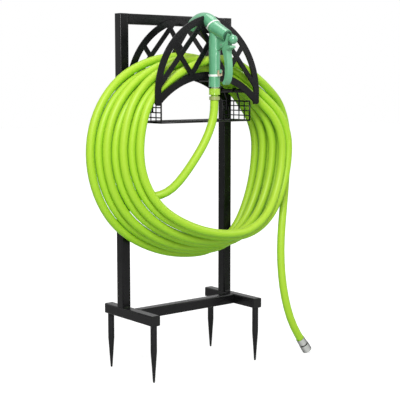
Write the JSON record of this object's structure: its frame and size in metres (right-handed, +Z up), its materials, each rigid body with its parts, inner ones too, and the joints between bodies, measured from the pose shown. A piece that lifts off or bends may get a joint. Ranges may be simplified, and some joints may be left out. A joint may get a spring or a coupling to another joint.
{
  "type": "hose stand",
  "caption": "Free-standing hose stand of black square tube on ground spikes, with a lattice arch saddle, wire basket, wound lime hose and green spray gun",
  "frame": {"origin": "on the ground plane through the spike tips, at the middle of the outline seen from above", "axes": "+Z up, +Y from the spray gun towards the uprights, +X to the right when facing the gun"},
  "size_m": [0.759, 0.3598, 1.064],
  "materials": {
    "black_steel": "satin powder coat",
    "black_plastic": "moulded matt",
    "zinc": "zinc plated",
    "gun_green": "satin moulded",
    "lever_green": "satin moulded",
    "white_plastic": "gloss moulded",
    "dark_plastic": "moulded matt",
    "beige_plastic": "moulded matt",
    "lime_plastic": "gloss moulded",
    "olive_plastic": "moulded matt",
    "seal_rubber": "matt",
    "hose_lime": "smooth extruded sheath",
    "bright_metal": "nickel plated"
  },
  "bodies": {
    "stand": {"left_foot_bar": "black_steel", "right_foot_bar": "black_steel", "foot_crossbar": "black_steel", "left_upright": "black_steel", "right_upright": "black_steel", "upright_welds": "black_steel", "top_rail": "black_steel", "front_arch_plate": "black_steel", "rear_arch_plate": "black_steel", "left_outer_rod": "black_steel", "left_inner_rod": "black_steel", "middle_rod": "black_steel", "right_inner_rod": "black_steel", "right_outer_rod": "black_steel", "basket_floor": "black_steel", "basket_left_wall": "black_steel", "basket_right_wall": "black_steel", "left_basket_hooks": "black_steel", "right_basket_hooks": "black_steel", "front_left_spike": "black_steel", "front_right_spike": "black_steel", "rear_left_spike": "black_steel", "rear_right_spike": "black_steel", "front_foot_caps": "black_plastic", "rear_foot_caps": "black_plastic", "upright_caps": "black_plastic", "spike_nuts": "zinc", "rod_nuts": "zinc", "rod_washers": "zinc", "rail_bolts": "zinc", "leg_bolts": "zinc", "rivet_nuts": "zinc", "valve_spring": "zinc", "gun_housing": "gun_green", "gun_crook": "gun_green", "inlet_collar": "gun_green", "barrel_ring": "white_plastic", "handle_ring": "white_plastic", "inlet_nipple": "white_plastic", "spray_face": "dark_plastic", "spray_rim": "dark_plastic", "stem_gland": "dark_plastic", "connector_body": "lime_plastic", "hose_clamp_ring": "olive_plastic", "nipple_seal": "seal_rubber", "tail_washer": "seal_rubber", "hose_feed": "hose_lime", "hose_coil": "hose_lime", "hose_tail": "hose_lime", "tail_ferrule": "bright_metal", "tail_tailpiece": "bright_metal"},
    "trigger": {"trigger_lever": "lever_green", "trigger_pin": "zinc"},
    "stem": {"valve_stem": "zinc"},
    "knob": {"flow_knob": "gun_green"},
    "clip": {"hold_open_clip": "beige_plastic", "hold_open_pin": "zinc"},
    "sleeve": {"connector_sleeve": "lime_plastic"},
    "coupling": {"tail_swivel_nut": "bright_metal"}
  },
  "joints": [
    {"name": "trigger_pull", "type": "hinge", "parent": "stand", "child": "trigger", "pos_m": [0, -0.12614, 0.968], "axis": [1, 0, 0], "range_deg": [0, 10], "stiffness_Nm_per_rad": 4, "springref_deg": -14.32},
    {"name": "stem_travel", "type": "slide", "parent": "stand", "child": "stem", "axis": [0, -0.9135, -0.4067], "range_m": [0, 0.0062], "deforming": ["valve_spring"]},
    {"name": "flow_set", "type": "hinge", "parent": "stem", "child": "knob", "pos_m": [0, -0.16686, 0.98239], "axis": [0, -0.9135, -0.4067], "range_deg": [-180, 180]},
    {"name": "clip_swing", "type": "hinge", "parent": "stand", "child": "clip", "pos_m": [0, -0.10914, 0.894], "axis": [-1, 0, 0], "range_deg": [0, 75]},
    {"name": "sleeve_release", "type": "slide", "parent": "stand", "child": "sleeve", "axis": [0, 0, -1], "range_m": [0, 0.004], "stiffness_N_per_m": 1500, "springref_m": -0.004},
    {"name": "coupling_turn", "type": "hinge", "parent": "stand", "child": "coupling", "pos_m": [0.37856, -0.08619, 0.02038], "axis": [0.5981, -0.026, -0.801], "continuous": true}
  ],
  "couplings": [
    {"joint": "stem_travel", "follows": "trigger_pull", "m_per_rad": 0.0353}
  ]
}
